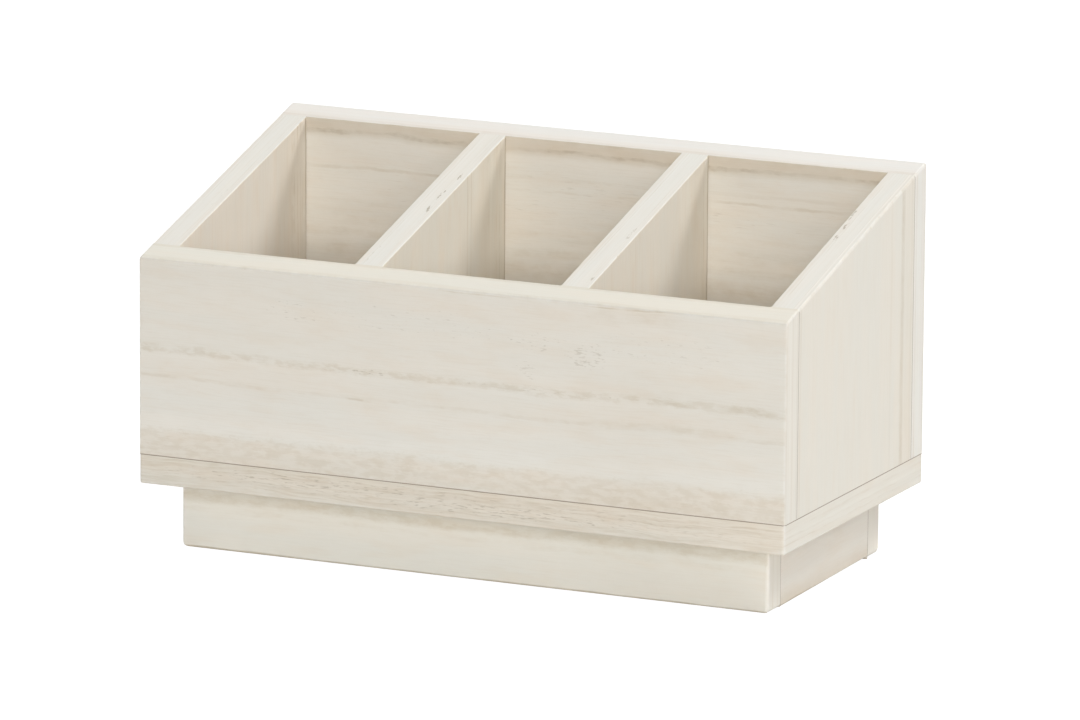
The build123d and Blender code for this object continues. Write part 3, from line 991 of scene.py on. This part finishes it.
def makeScrews(plan):
    tree = screwTree(screwSteel())
    screw = screwMesh(plan)
    inputs = [entry for entry in tree.interface.items_tree if entry.in_out == "INPUT"]
    sockets = {entry.name: entry.identifier for entry in inputs}
    for number, (name, places) in enumerate(plan["places"].items()):
        data = bpy.data.meshes.new(name)
        data.from_pydata([(x * mm, y * mm, plan["level"]) for x, y in places], [], [])
        item = addObject(name + "_set", data)
        copies = item.modifiers.new("copies", "NODES")
        copies.node_group = tree
        copies[sockets["Screw"]] = screw
        copies[sockets["Seed"]] = plan["seed"] + number
        applyModifiers(item)
        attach(item, "root")
        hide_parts(name)
    bpy.data.objects.remove(screw)


# The glue blocks are washed like the boards, and the dowels are plain beech. The CAD pieces stay and take
# this finish.
hiddenWoodPlan = {
    "washed": {
        "body": (224, 214, 198), "line": (204, 188, 162),
        "wide": (232, 226, 214), "edge": (236, 231, 222),
    },
    "beech": {
        "body": (214, 192, 156), "line": (184, 156, 116),
        "wide": (224, 206, 174), "edge": (232, 216, 188),
    },
    "pieces": [(f"plinth_{end}_{side}_block", "washed", "z") for end, side in cornerNames]
    + [(f"{end}_{side}_corner_dowels", "beech", "y") for end, side in cornerNames],
    "seedStep": 3.7,
}


def hiddenWood(name, tones, along, seed):
    material, tree = newMaterial(name)
    where = node(tree, "ShaderNodeTexCoord").outputs["Object"]
    apart = node(tree, "ShaderNodeSeparateXYZ", {0: where}).outputs
    scale = {letter: 60 if letter == along else 900 for letter in "xyz"}
    spot = [calc(tree, "MULTIPLY", apart[i], scale[letter]) for i, letter in enumerate("xyz")]
    fine = noise(tree, spot[0], spot[1], calc(tree, "ADD", spot[2], seed), 4, 0.6)
    wide = noise(tree, *(calc(tree, "MULTIPLY", value, 0.2) for value in spot), 2)
    colour = mixColour(tree, ramp(tree, fine, 0.4, 0.7), paint(*tones["body"]), paint(*tones["line"]))
    colour = mixColour(tree, ramp(tree, wide, 0.4, 0.65, 0, 0.4), colour, paint(*tones["wide"]))
    colour = mixColour(tree, edgeMask(tree, 0.5 * mm, 0.85, 0.5), colour, paint(*tones["edge"]))
    surface(tree, colour, ramp(tree, fine, 0.3, 0.7, 0.6, 0.8), fine, 0.05 * mm, 0.6, {})
    return material


def dressHidden(plan):
    for number, (name, tones, along) in enumerate(plan["pieces"]):
        finish = hiddenWood(name + "_wood", plan[tones], along, plan["seedStep"] * number)
        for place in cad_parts[name].material_slots:
            place.material = finish


makeScrews(screwPlan)
dressHidden(hiddenWoodPlan)
print("screws, blocks and dowels made")


# Light and floor. Each lamp is a round one: direction from the part, distance and size in metres, level.
lightPlan = {
    "lamps": {
        "front": ((0.30, -1.0, 0.20), 7.0, 1.4, 0.255),
        "front_right": ((0.45, -1.0, 0.30), 7.0, 1.4, 0.242),
        "high_front": ((0.25, -1.0, 0.60), 7.0, 1.2, 0.05),
        "back": ((0.5, 1.0, 1.2), 7.0, 2.4, 0.455),
        "back_right": ((0.8, 1.0, 1.05), 7.0, 2.4, 0.17),
        "right": ((1.0, 0.1, 1.6), 7.0, 1.6, 0.15),
        "low_right": ((1.0, -0.78, 0.44), 7.0, 1.4, 0.1),
        "low_left": ((-1.0, -0.05, 0.35), 7.0, 3.0, 0.22),
    },
    "aim": (0, 0, 80 * mm),  # where the lamps point
    "sky": 0.13,
    "floorRadius": 8,
    "floorColour": (0.88, 0.88, 0.88, 1.0),
    "floorGlow": 1.15,
    "floorShare": 0.86,  # how much of the floor seen by the camera is that plain glow
}


def areaLamp(name, towards, distance, size, level):
    direction = Vector(towards).normalized()
    lamp = bpy.data.lights.new(name, "AREA")
    lamp.shape = "DISK"
    lamp.size = size
    lamp.energy = level * math.pi ** 2 * distance ** 2
    item = addObject(name, lamp)
    item.location = direction * distance + Vector(lightPlan["aim"])
    item.rotation_mode = "QUATERNION"
    item.rotation_quaternion = direction.to_track_quat("Z", "Y")


def seenDirectly(tree):
    path = node(tree, "ShaderNodeLightPath").outputs
    seen = calc(tree, "MAXIMUM", path["Is Camera Ray"], path["Is Glossy Ray"])
    return calc(tree, "MAXIMUM", seen, path["Is Transmission Ray"])


def makeLight(plan):
    for name, settings in plan["lamps"].items():
        areaLamp(name, *settings)
    world = bpy.data.worlds.new("sky")
    bpy.context.scene.world = world
    world.use_nodes = True
    tree = world.node_tree
    tree.nodes.clear()
    strength = ramp(tree, seenDirectly(tree), 0, 1, plan["sky"], 1)
    sky = node(tree, "ShaderNodeBackground", {"Color": (1, 1, 1, 1), "Strength": strength})
    node(tree, "ShaderNodeOutputWorld", {"Surface": sky.outputs[0]})


def makeFloor(plan):
    mesh = bmesh.new()
    bmesh.ops.create_circle(mesh, cap_ends=True, segments=64, radius=plan["floorRadius"])
    data = bpy.data.meshes.new("floor")
    mesh.to_mesh(data)
    mesh.free()
    material, tree = newMaterial("floor_paper")
    paper = node(tree, "ShaderNodeBsdfDiffuse", {"Color": plan["floorColour"]})
    glow = node(tree, "ShaderNodeEmission", {"Strength": plan["floorGlow"]})
    share = calc(tree, "MULTIPLY", seenDirectly(tree), plan["floorShare"])
    lit = node(tree, "ShaderNodeMixShader", {0: share, 1: paper.outputs[0], 2: glow.outputs[0]})
    clear = node(tree, "ShaderNodeBsdfTransparent")
    below = node(tree, "ShaderNodeNewGeometry").outputs["Backfacing"]
    both = node(tree, "ShaderNodeMixShader", {0: below, 1: lit.outputs[0], 2: clear.outputs[0]})
    node(tree, "ShaderNodeOutputMaterial", {"Surface": both.outputs[0]})
    data.materials.append(material)
    addObject("floor", data)


makeLight(lightPlan)
makeFloor(lightPlan)
bpy.context.scene.view_settings.view_transform = "Standard"
print("light and floor made")
